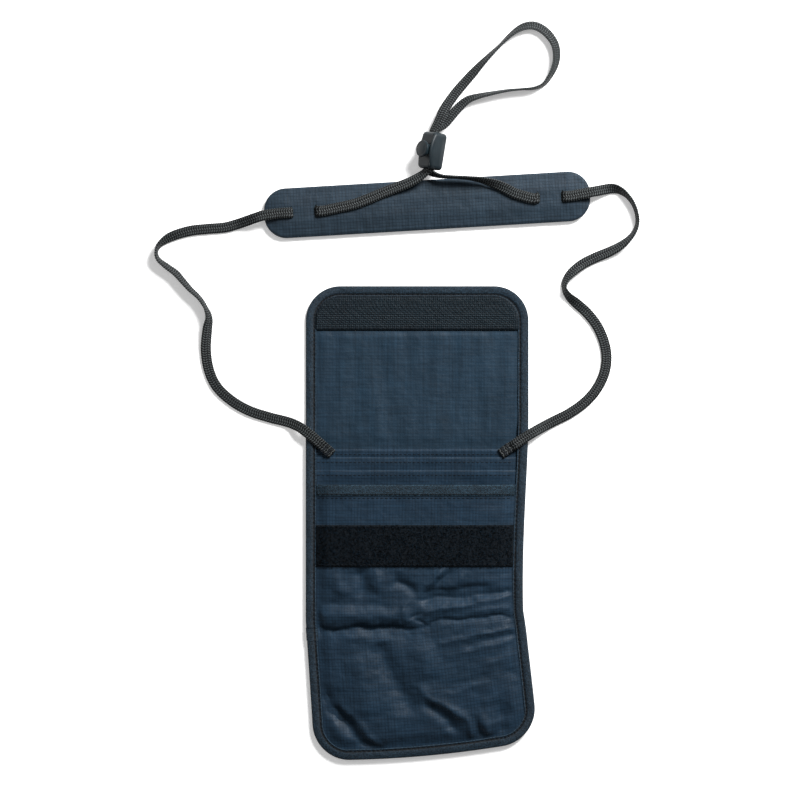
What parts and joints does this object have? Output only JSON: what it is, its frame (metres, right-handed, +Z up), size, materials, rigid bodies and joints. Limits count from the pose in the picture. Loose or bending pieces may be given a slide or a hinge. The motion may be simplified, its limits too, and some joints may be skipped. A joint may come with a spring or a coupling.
{
  "type": "neck pouch wallet",
  "caption": "Flat fabric neck pouch wallet, opened out, with a fold-over hook-and-loop flap, layered pockets, an adjustable neck cord with a padded slide and a spring cord lock.",
  "frame": {"origin": "on the underside of the back panel, midway along the opened pouch and 0.5 mm right of its centreline", "axes": "the opened pouch lies on its back: +Z up out of the pockets, +Y from the pouch's bottom edge towards the neck pad, +X across the pouch to the right"},
  "size_m": [0.3073, 0.4685, 0.0181],
  "materials": {
    "ripstop": "navy ripstop nylon with a fine raised grid, slight sheen",
    "lining": "navy ripstop nylon, inner side",
    "binding": "folded nylon edge tape with lines of stitching",
    "loop": "black fuzzy loop tape, matt",
    "hook": "dark hook tape, rows of small stiff hooks",
    "cord": "flat tubular braid, black with grey ticks",
    "foam": "closed-cell foam sheet, matt",
    "lock_plastic": "dark grey moulded plastic, satin",
    "spring_steel": "bright spring wire"
  },
  "bodies": {
    "pouch": {"back_panel": "ripstop", "back_lining": "lining", "card_pocket_rear": "ripstop", "card_pocket_middle": "ripstop", "card_pocket_front": "ripstop", "front_pocket": "ripstop", "front_pocket_hem": "binding", "loop_strip": "loop", "body_binding": "binding", "cord_tab_left": "cord", "cord_tab_right": "cord", "cord_left": "cord", "cord_middle": "cord", "cord_right": "cord"},
    "flap": {"flap_outer": "ripstop", "flap_lining": "lining", "hook_strip": "hook", "flap_binding": "binding"},
    "neck_pad": {"pad_top_fabric": "ripstop", "pad_foam": "foam", "pad_bottom_fabric": "ripstop"},
    "cord_lock": {"lock_body": "lock_plastic", "lock_spring": "spring_steel"},
    "lock_plunger": {"lock_button": "lock_plastic"}
  },
  "joints": [
    {"name": "flap_fold", "type": "hinge", "parent": "pouch", "child": "flap", "pos_m": [0, 0.059, 0.0059], "axis": [1, 0, 0], "range_deg": [0, 180]},
    {"name": "neck_pad_slide", "type": "slide", "parent": "pouch", "child": "neck_pad", "axis": [0.9982, 0.0593, 0], "range_m": [-0.01, 0.01], "deforming": ["cord_left", "cord_right"]},
    {"name": "cord_lock_slide", "type": "slide", "parent": "pouch", "child": "cord_lock", "axis": [0.1616, 0.9869, 0], "range_m": [0, 0.01], "deforming": ["cord_middle"]},
    {"name": "lock_button_press", "type": "slide", "parent": "cord_lock", "child": "lock_plunger", "axis": [0.7334, -0.1201, -0.6691], "range_m": [0, 0.002], "stiffness_N_per_m": 1200, "springref_m": -0.0015, "deforming": ["lock_spring"]}
  ]
}
